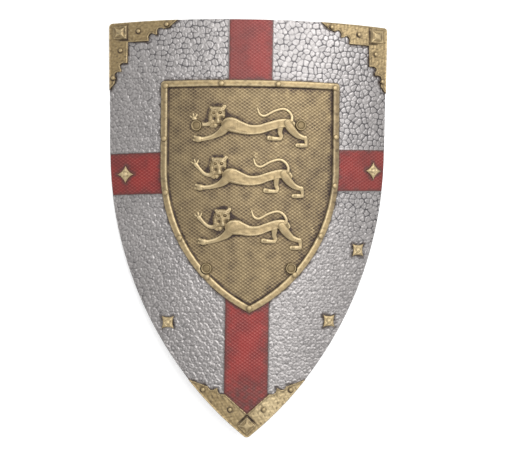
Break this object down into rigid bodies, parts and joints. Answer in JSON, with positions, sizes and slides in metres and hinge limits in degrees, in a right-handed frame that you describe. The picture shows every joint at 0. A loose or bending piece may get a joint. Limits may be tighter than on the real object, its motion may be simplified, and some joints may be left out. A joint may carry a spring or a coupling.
{
  "type": "heater shield",
  "caption": "Bowed heater shield of hammered steel with a sunk red cross, a brass escutcheon of three walking lions, cusped corner mounts, a chape, stars and rivets.",
  "frame": {"origin": "middle of the shield's length and width, at the height of the side edges that it rests on", "axes": "+X to the right of someone who looks at the face, +Y towards the straight top edge, +Z out of the bowed face"},
  "size_m": [0.4096, 0.5993, 0.0508],
  "materials": {
    "hammered_steel": "hammered, silvered and dulled with age, dark in the hollows",
    "red_enamel": "dull red enamel over a diamond-knurled ground",
    "aged_brass": "antique brass with a brown wash and worn bright edges"
  },
  "bodies": {
    "root": {"shield_plate": "hammered_steel", "lion_escutcheon": "aged_brass", "corner_mount_left": "aged_brass", "corner_mount_right": "aged_brass", "chape": "aged_brass", "star_upper_left": "aged_brass", "star_upper_right": "aged_brass", "star_middle_right": "aged_brass", "star_lower_left": "aged_brass", "star_lower_right": "aged_brass", "stud_upper_left": "aged_brass", "stud_upper_right": "aged_brass", "stud_lower_left": "aged_brass", "stud_lower_right": "aged_brass", "rim_rivet_01": "aged_brass", "rim_rivet_02": "aged_brass", "rim_rivet_03": "aged_brass", "rim_rivet_04": "aged_brass", "rim_rivet_05": "aged_brass", "rim_rivet_06": "aged_brass", "rim_rivet_07": "aged_brass", "rim_rivet_08": "aged_brass", "rim_rivet_09": "aged_brass", "rim_rivet_10": "aged_brass", "rim_rivet_11": "aged_brass", "rim_rivet_12": "aged_brass", "rim_rivet_13": "aged_brass", "corner_rivet_left_1": "aged_brass", "corner_rivet_left_2": "aged_brass", "corner_rivet_left_3": "aged_brass", "corner_rivet_left_4": "aged_brass", "corner_rivet_right_1": "aged_brass", "corner_rivet_right_2": "aged_brass", "corner_rivet_right_3": "aged_brass", "corner_rivet_right_4": "aged_brass", "chape_rivet_1": "aged_brass", "chape_rivet_2": "aged_brass", "chape_rivet_3": "aged_brass", "chape_rivet_4": "aged_brass"}
  },
  "joints": []
}
